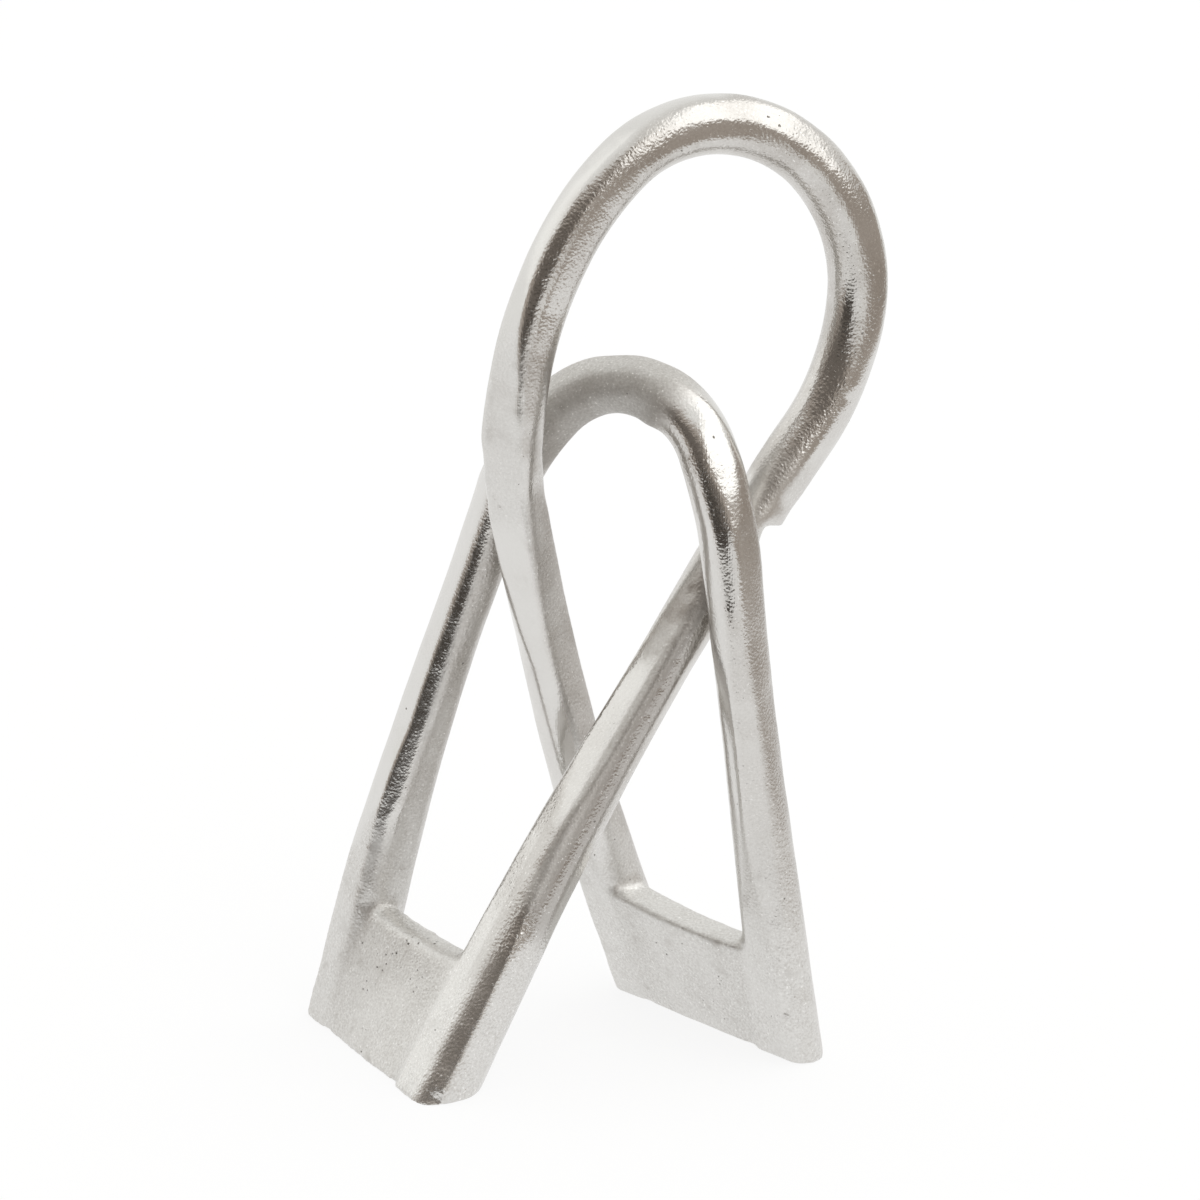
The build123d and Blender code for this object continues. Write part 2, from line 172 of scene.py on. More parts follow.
# Flats that the casting and its dressing leave along the bars: strand, share of the cut that is taken,
# how smooth it is dressed, width of its rounded edge, and rows of length along the strand and two turns
Flat = namedtuple("Flat", "strand share dressed edge rows")
FLAT_STEP = 4.0
FLAT_MARGIN = 3 * FLAT_STEP
FLAT_START = 0.15 * MM
FLAT_FACING = 0.8
FLAT_SIDES = (0.25, 0.5)
NEIGHBOUR_SHARES = (0.25, 0.5, 0.25)
LEG_REACH = 15.5 * MM
FLATS = {
    "left rear leg, outer strip": Flat(ARCH, 0.9, 1.0, 1.3, (
        (50, -62, -62), (68, -90, -44), (80, -92, -30), (100, -94, -17), (120, -94, -21),
        (140, -94, -26), (178, -94, -28), (205, -60, -60),
    )),
    "left rear leg, front band": Flat(ARCH, 0.9, 0.85, 0.8, (
        (36, -22, -22), (62, -46, 4), (80, -35, 19), (100, -33, 21), (120, -37, 18),
        (140, -36, 6), (165, -32, 4), (190, -14, -14),
    )),
    "left rear leg, inner side": Flat(ARCH, 0.6, 0.0, 1.3, (
        (44, 30, 30), (68, -6, 60), (80, 8, 64), (120, 14, 64), (150, 6, 64), (170, 4, 60), (190, 32, 32),
    )),
    "arch haunch, front": Flat(ARCH, 0.4, 0.2, 1.3, (
        (184, -12, -12), (208, -45, 19), (222, -43, 19), (238, -33, 25), (262, 4, 4),
    )),
    "arch top": Flat(ARCH, 0.8, 0.8, 1.3, (
        (188, -60, -60), (212, -92, -32), (235, -92, -22), (250, -92, -28),
        (264, -92, -55), (285, -72, -72),
    )),
    "arch right shoulder": Flat(ARCH, 0.8, 0.7, 1.3, (
        (246, -14, -14), (262, -42, 14), (282, -44, 10), (300, -18, -18),
    )),
    "right front leg, right side": Flat(ARCH, 0.7, 0.0, 1.3, (
        (276, -60, -60), (300, -90, -12), (320, -92, -16), (340, -92, -20), (360, -92, -30),
        (385, -90, -44), (412, -68, -68),
    )),
    "right front leg, top of the front": Flat(ARCH, 0.8, 0.4, 1.3, (
        (274, 20, 20), (290, 0, 38), (308, 0, 38), (328, 20, 20),
    )),
    "right front leg, inner side": Flat(ARCH, 0.9, 0.9, 1.3, (
        (272, 60, 60), (295, 36, 84), (317, 28, 80), (345, 26, 84), (379, 34, 90),
        (400, 50, 90), (425, 70, 70),
    )),
    "right front leg, front": Flat(ARCH, 0.8, 0.5, 1.3, (
        (318, 12, 12), (345, -14, 30), (375, -14, 36), (405, -6, 40), (432, 15, 15),
    )),
    "left front foot, left face": Flat(LOOP, 0.9, 0.2, 1.3, (
        (-6, -62, 18), (20, -60, 17), (36, -62, 14), (55, -64, 8), (75, -60, 2), (102, -30, -30),
    )),
    "left front foot, right face": Flat(LOOP, 0.9, 0.0, 1.3, (
        (-6, 2, 58), (20, 0, 60), (38, 2, 62), (50, 14, 60), (70, 36, 36),
    )),
    "left front leg, right side": Flat(LOOP, 0.7, 0.1, 1.3, (
        (38, 68, 68), (58, 44, 92), (75, 38, 92), (95, 42, 92), (120, 44, 90), (150, 52, 88), (182, 72, 72),
    )),
    "left front leg, front band": Flat(LOOP, 0.7, 0.0, 0.6, (
        (34, 11, 11), (58, -16, 44), (75, -12, 42), (95, -4, 46), (120, 0, 46),
        (140, 0, 48), (158, 8, 52), (184, 32, 32),
    )),
    "left front leg, left side": Flat(LOOP, 0.85, 0.7, 0.5, (
        (78, -38, -38), (102, -72, -4), (118, -80, 5), (140, -80, 5), (160, -72, 0), (182, -36, -36),
    )),
    "loop, lower right outside": Flat(LOOP, 0.8, 0.7, 1.3, (
        (190, 60, 60), (208, 28, 92), (222, 27, 92), (240, 28, 92), (254, 38, 92), (280, 64, 64),
    )),
    "loop, lower right front": Flat(LOOP, 0.6, 0.0, 1.3, (
        (195, 0, 0), (215, -20, 24), (240, -26, 26), (255, -28, 26), (285, 0, 0),
    )),
    "loop, right outside": Flat(LOOP, 0.25, 0.0, 1.3, (
        (246, 40, 40), (268, 14, 66), (285, 16, 66), (305, 16, 62), (330, 40, 40),
    )),
    "loop, right inside": Flat(LOOP, 0.6, 0.3, 1.3, (
        (236, -26, -26), (254, -40, -14), (275, -40, -14), (305, -28, -28),
    )),
    "loop, top outside": Flat(LOOP, 0.6, 0.2, 1.3, (
        (318, 30, 30), (342, 12, 52), (358, 15, 50), (372, 20, 44), (392, 30, 30),
    )),
    "loop, top front": Flat(LOOP, 0.8, 0.0, 1.0, (
        (328, -16, -16), (346, -36, 4), (374, -36, 4), (398, -14, -14),
    )),
    "loop, right front": Flat(LOOP, 0.6, 0.0, 0.8, (
        (250, 6, 6), (264, -9, 22), (285, -8, 22), (305, 8, 8),
    )),
    "loop, left outside, down to the right rear leg": Flat(LOOP, 0.9, 1.0, 1.3, (
        (345, 70, 70), (370, 44, 92), (385, 20, 92), (400, 33, 92), (415, 34, 92), (430, 34, 92),
        (445, 18, 88), (460, -6, 86), (475, -14, 84), (490, -14, 80), (505, -10, 78), (520, -4, 72),
        (535, 4, 50), (548, 6, 38), (560, 0, 32), (588, -14, 30), (615, -16, 28), (640, 4, 4),
    )),
    "loop, left inside": Flat(LOOP, 0.6, 0.4, 1.3, (
        (380, -40, -40), (402, -66, -12), (436, -66, -10), (456, -40, -40),
    )),
    "right rear leg, right side": Flat(LOOP, 0.8, 0.0, 1.3, (
        (468, -62, -62), (492, -92, -32), (515, -92, -16), (543, -92, -2), (559, -92, -8),
        (588, -92, -22), (615, -90, -34), (645, -60, -60),
    )),
    "right rear leg, left side": Flat(LOOP, 0.8, 0.8, 1.3, (
        (515, 78, 78), (540, 60, 95), (558, 33, 95), (588, 28, 95), (615, 28, 95), (645, 60, 60),
    )),
    "step at the loop's start weld": Flat(LOOP, 1.0, 0.3, 0.6, (
        (184, 92, 92), (191, 54, 130), (196, 38, 146), (200.5, 30, 154), (202, 92, 92),
    )),
}

# Lengths of the strands that are left matte or darkened with painted shade: from and to, between two turns,
# how much
Zone = namedtuple("Zone", "strand start end first last amount")
ZONE_FADE = 12
MATTE = {
    "arch haunch": Zone(ARCH, 200, 252, *ALL_ROUND, 2.0),
    "left rear foot": Zone(ARCH, 0, 45, *ALL_ROUND, 0.6),
    "right front foot": Zone(ARCH, 395, 480, *ALL_ROUND, 0.5),
    "left front foot": Zone(LOOP, 0, 40, *ALL_ROUND, 0.3),
    "loop's end weld": Zone(LOOP, 450, 500, *ALL_ROUND, 0.4),
    "left front leg, front": Zone(LOOP, 70, 182, -10, 14, 1.2),
    "left front leg, top": Zone(LOOP, 152, 182, -60, 14, 0.7),
    "loop's start weld": Zone(LOOP, 202, 216, *ALL_ROUND, 0.6),
    "right rear leg, right side": Zone(LOOP, 500, 640, -200, -12, 1.0),
    "right rear foot": Zone(LOOP, 630, 700, *ALL_ROUND, 0.6),
    "right front leg, right side": Zone(ARCH, 300, 398, -200, -22, 0.5),
    "left rear leg, inner side": Zone(ARCH, 50, 180, 14, 200, 0.7),
}
MATTE_WEBS = 0.8
# Painted shade: these faces are coloured darker to stand in for the dark surroundings they reflect
PAINTED_SHADE_ZONES = {
    "left front leg, front": Zone(LOOP, 62, 176, 16, 50, 0.75),
    "left front foot, left edge": Zone(LOOP, 42, 86, -50, -22, 0.35),
}

# Gentle unevenness of the casting
Waves = namedtuple("Waves", "seed number shortest longest height")
LONG_WAVES = Waves(3, 24, 14, 45, 0.4)
SHORT_WAVES = Waves(5, 24, 4, 9, 0.05)
HIGHEST_WAVE = 0.3 * MM
SINK = 0.12 * MM

# Lumps, dents and nicks left by casting and grinding: place, size, height
LUMP_REACH = 3
LUMPS = (
    # Crown of the arch
    ((17, -2, 203), 4, 1.2), ((11, -1, 203), 3.5, 0.4), ((-2, -3, 213), 4, -0.3), ((9, -1, 219), 4, -0.25),
    # Right limb of the loop
    ((58, 4, 171), 3.5, 0.4), ((53, 0, 166), 3, -0.3), ((77, 14, 205), 2, -0.2), ((78, 15, 209), 2.5, 0.12),
    # Left limb of the loop, down to its crossing
    ((-32, -8, 200), 8, 0.45), ((-31, -9, 222), 8, -0.2), ((-18, -16, 208), 4, 0.25),
    ((-19, -15, 199), 4, -0.2), ((-28, -7, 182), 1.6, -0.5), ((-27, -8, 179), 1.4, -0.4),
    ((-22, -11, 190), 5, 0.2),
    # Left front leg, with a row of nicks
    ((31, -4, 150), 2.2, -0.35), ((25, -8, 137), 2.5, 0.25), ((28, -7, 143), 2.2, -0.25),
    ((33, -3, 145), 2, 0.25), ((26, -9, 130), 1.1, -0.16), ((21, -12, 122), 1.1, -0.14),
    ((17, -13, 114), 1.1, -0.14),
    # Left foot
    ((-72, 9, 47), 2.4, -0.25), ((-71, 8, 42), 2.4, -0.3), ((-66, 9, 46), 4.5, 0.5),
    ((-61, 5, 42), 3.5, 0.4), ((-55, 0, 40), 3, -0.3), ((-47, -49, 2), 2.2, -0.8), ((-43, -49, 3), 3, 0.3),
    # Right front foot
    ((60, -20, 18), 1.4, -0.5), ((65, -19, 26), 4.5, -0.4),
    # Left flank of the loop
    ((-8, 6, 248), 5, 0.25), ((-14, -1, 240), 4, -0.2),
)


# Centre lines of the bar
def leaning(right, back):
    """Way up along a limb that leans right and back by the given degrees."""
    return Vector((math.tan(math.radians(right)), math.tan(math.radians(back)), 1)).normalized()


def level(turn):
    """Level way to the right, turned in plan."""
    return Vector((math.cos(math.radians(turn)), math.sin(math.radians(turn)), 0))


def arc(start, way, end):
    """Points along the arc that leaves start in a given way and meets end, and the way it arrives."""
    chord = end - start
    side = chord - way * chord.dot(way)
    radius = chord.length_squared / (2 * side.length)
    side.normalize()
    angle = 2 * math.atan2(chord.dot(side), chord.dot(way))
    count = max(2, round(radius * angle * MM / AXIS_STEP))
    turns = [angle * k / count for k in range(count + 1)]
    points = [start + side * radius * (1 - math.cos(a)) + way * radius * math.sin(a) for a in turns]
    return points, way * math.cos(angle) + side * math.sin(angle)


def two_arcs(start, start_way, end, end_way):
    """Points along two tangent arcs between two stations."""
    chord = end - start
    along = chord.dot(start_way + end_way)
    bend = 2 * (1 - start_way.dot(end_way))
    reach = (math.sqrt(along ** 2 + bend * chord.length_squared) - along) / bend
    middle = (start + end + (start_way - end_way) * reach) * 0.5
    first, middle_way = arc(start, start_way, middle)
    return first + arc(middle, middle_way, end)[0][1:]


def strand(*runs):
    """One centre line from several runs of points, in metres."""
    points = list(runs[0])
    for run in runs[1:]:
        points += run[1:]
    return np.array([p * MM for p in points])


left_rear_way = leaning(21, -2)
right_rear_way = leaning(-8, -14)
right_front_way = leaning(-6, 0)
left_front_way = leaning(32.5, 14.5)
crown_way = level(-25)
loop_right_way = leaning(3.5, 0)
loop_top_way = -level(22)
loop_flank_way = -leaning(27, 8)
arch_strand = strand(
    arc(LEFT_REAR_PASS, -left_rear_way, LEFT_REAR_FLOOR)[0][::-1],
    two_arcs(LEFT_REAR_PASS, left_rear_way, ARCH_CROWN, crown_way),
    two_arcs(ARCH_CROWN, crown_way, RIGHT_FRONT_PASS, -right_front_way),
    arc(RIGHT_FRONT_PASS, -right_front_way, RIGHT_FRONT_FLOOR)[0],
)
loop_strand = strand(
    arc(LEFT_FRONT_PASS, -left_front_way, LEFT_FRONT_FLOOR)[0][::-1],
    two_arcs(LEFT_FRONT_PASS, left_front_way, LOOP_RIGHT, loop_right_way),
    two_arcs(LOOP_RIGHT, loop_right_way, LOOP_TOP, loop_top_way),
    two_arcs(LOOP_TOP, loop_top_way, LOOP_FLANK, loop_flank_way),
    two_arcs(LOOP_FLANK, loop_flank_way, RIGHT_REAR_PASS, -right_rear_way),
    arc(RIGHT_REAR_PASS, -right_rear_way, RIGHT_REAR_FLOOR)[0],
)


# Skin of the casting
def smooth_step(low, high, x):
    """0 at low and 1 at high, smooth between. Low may be the larger one."""
    t = np.clip((x - low) / (high - low), 0, 1)
    return t * t * (3 - 2 * t)


def within(low, high, fade, x):
    """1 between low and high, fading to 0 outside over a given width."""
    return smooth_step(low - fade, low, x) * smooth_step(high + fade, high, x)


def read_points(mesh):
    points = np.empty(len(mesh.vertices) * 3)
    mesh.vertices.foreach_get("co", points)
    return points.reshape(-1, 3)


def read_edges(mesh):
    edges = np.empty(len(mesh.edges) * 2, np.int32)
    mesh.edges.foreach_get("vertices", edges)
    return edges.reshape(-1, 2)


def normals_of(mesh, points):
    """Normals of a mesh with its points moved to the given places."""
    mesh.vertices.foreach_set("co", points.ravel())
    mesh.update()
    normals = np.empty(len(points) * 3)
    mesh.vertices.foreach_get("normal", normals)
    return normals.reshape(-1, 3)


def spread_crossings(points, amount):
    """Moves the loop's bar away from the arch's bar where they cross, by a small amount."""
    moved = points.copy()
    for crossing, way in CROSSINGS:
        distance = np.linalg.norm(points - np.array(crossing * MM), axis=1)
        moved[:, 1] += way * amount * smooth_step(CROSSING_REACH, 0, distance)
    return moved


def cast_skin():
    """One closed skin over all the solids. The bars that cross are held apart while it is made."""
    joined = bmesh.new()
    for name, solid in frame["nodes"].items():
        bare = solid.data.copy()
        if name in LOOP_NODES:
            apart = spread_crossings(read_points(bare), CROSSING_SPREAD)
            bare.vertices.foreach_set("co", apart.ravel())
        joined.from_mesh(bare)
        bpy.data.meshes.remove(bare)
    solids = bpy.data.meshes.new("skin")
    joined.to_mesh(solids)
    joined.free()
    holder = bpy.data.objects.new("skin", solids)
    bpy.context.scene.collection.objects.link(holder)
    remesh = holder.modifiers.new("skin", "REMESH")
    remesh.mode = "VOXEL"
    remesh.voxel_size = SKIN_VOXEL
    remesh.adaptivity = 0
    skin = bpy.data.meshes.new_from_object(holder.evaluated_get(bpy.context.evaluated_depsgraph_get()))
    bpy.data.objects.remove(holder)
    bpy.data.meshes.remove(solids)
    return skin


class Net:
    """Neighbours of every point, to smooth over."""

    def __init__(self, count, edges):
        self.count = count
        self.a = edges[:, 0]
        self.b = edges[:, 1]
        self.neighbours = np.bincount(self.a, minlength=count) + np.bincount(self.b, minlength=count)

    def mean(self, values):
        """Mean of each point's neighbours."""
        columns = []
        for column in values.reshape(self.count, -1).T:
            total = np.bincount(self.a, column[self.b], self.count)
            total += np.bincount(self.b, column[self.a], self.count)
            columns.append(total / self.neighbours)
        return np.stack(columns, 1).reshape(values.shape)

    def relax(self, points, weight, rounds):
        """Rounds off corners by the given weight at each point."""
        for _ in range(rounds):
            points = points + (self.mean(points) - points) * weight
        return points

    def relax_part(self, points, weight, rounds):
        """The same, on the part of the net where there is a weight, to save time."""
        active = weight > 0
        kept = active[self.a] | active[self.b]
        used, ends = np.unique(np.concatenate([self.a[kept], self.b[kept]]), return_inverse=True)
        part = Net(len(used), ends.reshape(2, -1).T)
        relaxed = points.copy()
        relaxed[used] = part.relax(points[used], weight[used, None], rounds)
        return relaxed

    def even(self, points, rounds):
        """Takes out the voxel steps and keeps the size."""
        for _ in range(rounds):
            points = self.relax(points, PULL, 1)
            points = self.relax(points, PUSH_BACK, 1)
        return points


class Bar:
    """Where each point of the skin lies along and around the bar."""

    def __init__(self, points):
        lines = (arch_strand, loop_strand)
        self.axis = np.concatenate(lines)
        self.way = np.concatenate([np.gradient(line, axis=0) for line in lines])
        self.way /= np.linalg.norm(self.way, axis=1)[:, None]
        self.run = np.concatenate([
            np.concatenate([[0], np.cumsum(np.linalg.norm(np.diff(line, axis=0), axis=1))]) for line in lines
        ])
        self.line = np.repeat([ARCH, LOOP], [len(arch_strand), len(loop_strand)])
        self.front = FRONT - self.way * (self.way @ FRONT)[:, None]
        self.front /= np.linalg.norm(self.front, axis=1)[:, None]
        self.side = np.cross(self.way, self.front)
        tree = kdtree.KDTree(len(self.axis))
        for k, place in enumerate(self.axis):
            tree.insert(place, k)
        tree.balance()
        self.near = np.array([tree.find(p)[1] for p in points])

    def around(self, points):
        """Offset of each point from the centre line, square to it."""
        offset = points - self.axis[self.near]
        way = self.way[self.near]
        return offset - way * np.sum(offset * way, axis=1)[:, None]

    def turned(self, points):
        """Turn of each point round the bar in degrees."""
        around = self.around(points)
        aside = np.sum(around * self.side[self.near], 1)
        forward = np.sum(around * self.front[self.near], 1)
        return np.degrees(np.arctan2(aside, forward))

    def zones(self, points, zones):
        """How far each point of the skin lies in given lengths and turns of the bars."""
        run = self.run[self.near] / MM
        line = self.line[self.near]
        turn = self.turned(points)
        mask = np.zeros(len(points))
        for zone in zones.values():
            inside = within(zone.start, zone.end, ZONE_FADE, run)
            inside *= within(zone.first, zone.last, ZONE_FADE, turn)
            mask = np.maximum(mask, inside * (line == zone.strand) * zone.amount)
        return mask

    def flatten(self, points, flat):
        """Planes a flat along the bar between the turns that its rows give."""
        rows = np.array(flat.rows, float)
        edge = flat.edge * MM
        run = self.run[self.near] / MM
        around = self.around(points)
        radius = np.linalg.norm(around, axis=1)
        here = (self.line[self.near] == flat.strand) & (radius < LEG_REACH)
        here &= (run > rows[0, 0] - FLAT_MARGIN) & (run < rows[-1, 0] + FLAT_MARGIN)
        run, near, around = run[here], self.near[here], around[here]
        first = np.radians(np.interp(run, rows[:, 0], rows[:, 1]))
        last = np.radians(np.interp(run, rows[:, 0], rows[:, 2]))
        middle = (first + last) / 2
        depth = BAR_RADIUS * (1 - np.cos((last - first) / 2))
        facing = self.front[near] * np.cos(middle)[:, None] + self.side[near] * np.sin(middle)[:, None]
        out = np.sum(around * facing, axis=1)
        toward = out / radius[here]
        steps = ((run - run.min()) / FLAT_STEP).astype(int)
        reach = np.zeros(steps.max() + 1)
        np.maximum.at(reach, steps, np.where(toward > FLAT_FACING, out, 0))
        reach = np.convolve(np.pad(reach, 1, "edge"), NEIGHBOUR_SHARES, "valid")
        plane = np.interp(run, run.min() + (np.arange(len(reach)) + 0.5) * FLAT_STEP, reach) - depth
        blend = np.clip(0.5 + 0.5 * (plane - out) / edge, 0, 1)
        planed = plane * (1 - blend) + out * blend - edge * blend * (1 - blend)
        share = flat.share * smooth_step(0, FLAT_START, depth) * smooth_step(*FLAT_SIDES, toward)
        moved = points.copy()
        moved[here] += facing * (np.minimum(planed - out, 0) * share)[:, None]
        return moved


def middle_of(solid):
    low, high = BOXES[solid]
    return (low + high) / 2


def near_welds(points):
    """1 at a butt weld, 0 away from it."""
    mask = np.zeros(len(points))
    for weld in BUTT_WELDS:
        distance = np.linalg.norm(points - np.array(middle_of(weld)), axis=1)
        mask = np.maximum(mask, smooth_step(*WELD_REACH, distance))
    return mask


def away_from_leg(seam):
    """The way from a seam's leg into the web."""
    return seam.up.cross(seam.outward).normalized() * seam.side


def seam_distance(points, seam):
    """Distance of points past a seam's first face, away from its leg, and sideways from the leg."""
    from_floor = points - np.array(seam.floor * MM)
    past = from_floor @ np.array(away_from_leg(seam)) - seam.offset * MM
    return past, from_floor @ np.array(seam.outward)


def near_seams(points):
    """1 at the seams of the webs and the fillets above them, 0 away from them."""
    mask = np.zeros(len(points))
    for seam in SEAMS.values():
        past, sideways = seam_distance(points, seam)
        near = smooth_step(*FILLET_REACH, np.abs(past - SEAM_WIDTH / 2 * MM))
        near *= smooth_step(*FILLET_TOP, points[:, 2])
        mask = np.maximum(mask, near * smooth_step(*FOOT_SIDE, np.abs(sideways)))
    return mask


def on_webs(bar, points):
    """1 on the webs, 0 on the bars."""
    radius = np.linalg.norm(bar.around(points), axis=1)
    return smooth_step(*WEB_START, radius) * smooth_step(*WEB_TOP, points[:, 2])


def web_edges(bar, points):
    """1 on the webs above the floor, 0 on the bars."""
    return on_webs(bar, points) * smooth_step(*WEB_SOLE, points[:, 2])


def fill_corners(mesh, net, points, weight):
    """Fills hollow corners with a fillet and leaves the rest."""
    for _ in range(FILLET_ROUNDS // FILLET_PASS):
        normals = normals_of(mesh, points)
        relaxed = net.relax_part(points, PULL * weight, FILLET_PASS)
        rise = np.sum((relaxed - points) * normals, axis=1)
        points = points + normals * np.maximum(rise, 0)[:, None]
    return net.relax_part(points, PULL * weight, FILLET_FINISH)


def heights(points, waves):
    """Seeded unevenness of mixed wave lengths."""
    source = np.random.default_rng(waves.seed)
    total = np.zeros(len(points))
    for _ in range(waves.number):
        way = source.normal(size=3)
        length = source.uniform(waves.shortest * MM, waves.longest * MM)
        way *= 2 * np.pi / (np.linalg.norm(way) * length)
        total += np.sin(points @ way + source.uniform(0, 2 * np.pi))
    return total / waves.number * waves.height * MM


def add_lumps(points, normals):
    """Raises and sinks the skin at each lump."""
    moved = points.copy()
    for place, size, height in LUMPS:
        distance = np.linalg.norm(points - np.array(place) * MM, axis=1) / (size * MM)
        near = distance < LUMP_REACH
        moved[near] += normals[near] * (height * MM * np.exp(-distance[near] ** 2))[:, None]
    return moved


def write_mask(mesh, name, mask):
    mesh.attributes.new(name, "FLOAT", "POINT").data.foreach_set("value", mask.astype(np.float32))


def shaped_skin():
    """The skin of the whole casting with its fillets, flats and unevenness."""
    skin = cast_skin()
    net = Net(len(skin.vertices), read_edges(skin))
    points = net.even(read_points(skin), SKIN_ROUNDS)
    bar = Bar(points)
    on_loop = bar.line[bar.near] == LOOP
    points[on_loop] = spread_crossings(points[on_loop], -CROSSING_SPREAD)
    points = net.relax_part(points, near_welds(points) * PULL, WELD_ROUNDS)
    points = fill_corners(skin, net, points, near_seams(points))
    points = net.relax_part(points, web_edges(bar, points) * PULL, EDGE_ROUNDS)
    dressed = near_welds(points)
    for flat in FLATS.values():
        planed = bar.flatten(points, flat)
        taken = np.linalg.norm(planed - points, axis=1)
        dressed += (flat.dressed - dressed) * smooth_step(*PLANED, taken)
        points = planed
    points = net.relax(points, PULL, FLAT_ROUNDS)
    normals = normals_of(skin, points)
    uneven = np.minimum(heights(points, LONG_WAVES) + heights(points, SHORT_WAVES), HIGHEST_WAVE) - SINK
    points = add_lumps(points + normals * uneven[:, None], normals)
    points[:, 2] = np.maximum(points[:, 2], 0)
    skin.vertices.foreach_set("co", points.ravel())
    write_mask(skin, "dressed", net.relax(dressed, PULL, MASK_ROUNDS))
    matte = np.maximum(bar.zones(points, MATTE), near_seams(points))
    write_mask(skin, "matte", np.maximum(matte, MATTE_WEBS * on_webs(bar, points)))
    # Mask of the painted shade
    write_mask(skin, "painted_shade", bar.zones(points, PAINTED_SHADE_ZONES))
    skin.update()
    return skin


# Pieces
Cut = namedtuple("Cut", "place way near")


def weld_cuts(faces):
    """Two cuts at each butt weld, square to the bar, with the faces near them."""
    cuts = []
    for weld, way in BUTT_WELDS.items():
        for shift in (-BUTT_WIDTH / 2, BUTT_WIDTH / 2):
            place = middle_of(weld) + way * shift * MM
            offset = faces - np.array(place)
            past = offset @ np.array(way)
            aside = np.linalg.norm(offset - past[:, None] * np.array(way), axis=1)
            cuts.append(Cut(place, way, (np.abs(past) < CUT_BAND) & (aside < BUTT_REACH)))
    return cuts


def seam_cuts(faces):
    """Two cuts at each seam of a web, with the faces near them."""
    cuts = []
    for seam in SEAMS.values():
        way = away_from_leg(seam)
        past, sideways = seam_distance(faces, seam)
        for shift in (0, SEAM_WIDTH):
            place = seam.floor * MM + way * (seam.offset + shift) * MM
            near = (np.abs(past - shift * MM) < CUT_BAND) & (faces[:, 2] < SEAM_TOP)
            cuts.append(Cut(place, way, near & (np.abs(sideways) < SEAM_SIDE)))
    return cuts


def cut_and_close(skin):
    """Cuts the skin at its welds and seams and closes both sides of each cut."""
    faces = np.empty(len(skin.polygons) * 3)
    skin.polygons.foreach_get("center", faces)
    faces = faces.reshape(-1, 3)
    cuts = weld_cuts(faces) + seam_cuts(faces)
    shell = bmesh.new()
    shell.from_mesh(skin)
    shell.faces.ensure_lookup_table()
    regions = [[shell.faces[k] for k in np.nonzero(cut.near)[0]] for cut in cuts]
    edges = []
    for cut, region in zip(cuts, regions):
        corners = dict.fromkeys(v for face in region for v in face.verts)
        sides = dict.fromkeys(e for face in region for e in face.edges)
        made = bmesh.ops.bisect_plane(
            shell, geom=list(corners) + list(sides) + region,
            dist=CUT_SNAP, plane_co=cut.place, plane_no=cut.way,
        )
        edges += [e for e in made["geom_cut"] if isinstance(e, bmesh.types.BMEdge)]
    bmesh.ops.split_edges(shell, edges=edges)
    rims = [e for e in shell.edges if e.is_boundary]
    for edge in rims:
        edge.smooth = False
    caps = bmesh.ops.holes_fill(shell, edges=rims, sides=0)["faces"]
    for face in caps:
        face.smooth = False
    bmesh.ops.triangulate(shell, faces=caps)
    shell.to_mesh(skin)
    shell.free()


def separate_pieces(skin):
    """The closed pieces of the cut skin, as objects."""
    whole = bpy.data.objects.new("casting", skin)
    bpy.context.scene.collection.objects.link(whole)
    for other in bpy.context.scene.objects:
        other.select_set(other == whole)
    bpy.context.view_layer.objects.active = whole
    bpy.ops.object.mode_set(mode="EDIT")
    bpy.ops.mesh.select_all(action="SELECT")
    bpy.ops.mesh.separate(type="LOOSE")
    bpy.ops.object.mode_set(mode="OBJECT")
    return list(bpy.context.selected_objects)


def misfit(piece, solid):
    """How far a piece's box is from a solid's box."""
    points = read_points(piece.data)
    low, high = BOXES[solid]
    return np.abs(points.min(0) - np.array(low)).sum() + np.abs(points.max(0) - np.array(high)).sum()


# Materials
MIX_UNDER = 6
MIX_OVER = 7
MIX_RESULT = 2

# Scales of the textures
PATCH_SCALE = 60
CLUSTER_SCALE = 85
SMUDGE_SCALE = 140
PORE_SCALE = 620
BEAD_SCALE = 950
SAND_SCALE = 1100
FLECK_SCALE = 1300
DUST_SCALE = 1500

# Colours of the metal
BRIGHT_METAL = (0.72, 0.71, 0.688, 1)
DULL_METAL = (0.57, 0.548, 0.52, 1)
WORN_METAL = (0.42, 0.395, 0.365, 1)
# Colour of the painted shade
PAINTED_SHADE_METAL = (0.34, 0.315, 0.29, 1)
# Colour of the painted glints
PAINTED_GLINT_METAL = (0.93, 0.92, 0.9, 1)
PIT_BOTTOM = (0.16, 0.145, 0.13, 1)

# Parts of the grain, the flecks, the painted shade and the roughness
DRESSED_OFF = 0.85
SAND_SMOOTHNESS = 0.8
DUST_HEIGHT = 0.8
BEAD_HEIGHT = 0.7
FLECK_SHARE = 0.4
PAINTED_SHADE_SHARE = 0.8
MATTE_ROUGHNESS = 0.26
SMUDGE_ROUGHNESS = 0.1

# Heights over which the painted reflection of the white floor fades: below them the rough metal of the feet
# is painted as bright as dressed metal
FLOOR_REFLECTION_HEIGHTS = (30 * MM, 100 * MM)

# Sizes of the pores, and grain depth and share of pores for each finish
PORE_RAGGED = 0.9 * MM
PIT_DEPTH = 0.3 * MM
PIT_STRENGTH = 0.6
GRAIN_DEPTH = {"cast_bar": 0.11 * MM, "web_plate": 0.09 * MM, "weld_metal": 0.13 * MM}
PORE_CLUSTERS = {"cast_bar": 0.03, "web_plate": 0.55, "weld_metal": 0.25}


